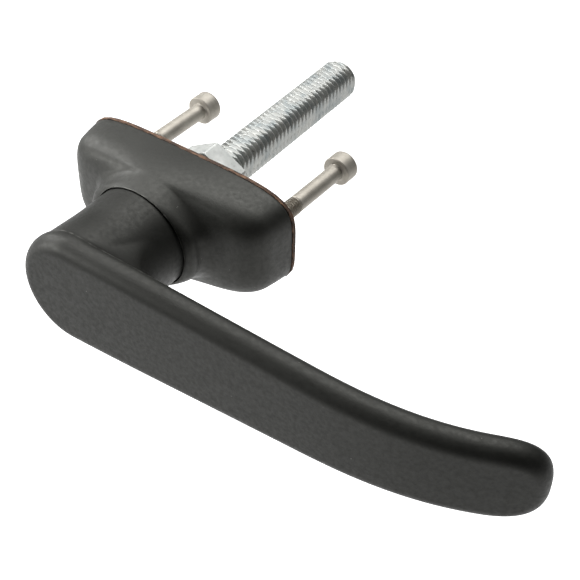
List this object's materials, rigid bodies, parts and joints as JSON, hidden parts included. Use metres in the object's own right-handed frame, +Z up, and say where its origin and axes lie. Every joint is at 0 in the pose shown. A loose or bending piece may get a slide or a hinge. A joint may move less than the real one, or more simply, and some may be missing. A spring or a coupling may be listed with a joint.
{
  "type": "door lever handle",
  "caption": "Lever handle on a fixing plate, with a threaded square spindle, lock nut and cap screws.",
  "frame": {"origin": "on the spindle's axis in the gasket's rear plane, which lies on the door", "axes": "+X along the lever to its tip, +Y along the spindle into the door, +Z up"},
  "size_m": [0.157, 0.1215, 0.0318],
  "materials": {
    "black_coat": "satin black powder coat with a fine grain",
    "zinc_steel": "bright zinc plated steel, rolled thread",
    "zinc_nut": "pale matte zinc plate",
    "stainless": "turned stainless steel, satin",
    "gasket_fibre": "brown pressed fibre sheet",
    "bush_nylon": "natural nylon",
    "seal_rubber": "black rubber"
  },
  "bodies": {
    "plate": {"rose_plate": "black_coat", "gasket": "gasket_fibre", "bearing_bush": "bush_nylon", "shaft_seal": "seal_rubber"},
    "handle": {"lever": "black_coat", "spindle": "zinc_steel", "flat_washer": "zinc_steel", "spring_washer": "zinc_steel"},
    "nut": {"lock_nut": "zinc_nut"},
    "left_screw": {"screw_left": "stainless"},
    "right_screw": {"screw_right": "stainless"}
  },
  "joints": [
    {"name": "lever_turn", "type": "hinge", "parent": "plate", "child": "handle", "pos_m": [0, 0, 0], "axis": [0, 1, 0], "range_deg": [-90, 90]},
    {"name": "nut_travel", "type": "slide", "parent": "handle", "child": "nut", "axis": [0, 1, 0], "range_m": [0, 0.052]},
    {"name": "left_screw_travel", "type": "slide", "parent": "plate", "child": "left_screw", "axis": [0.018, 0.9997, -0.017], "range_m": [-0.0015, 0.005]},
    {"name": "right_screw_travel", "type": "slide", "parent": "plate", "child": "right_screw", "axis": [0.023, 0.9997, -0.013], "range_m": [-0.0015, 0.005]}
  ]
}
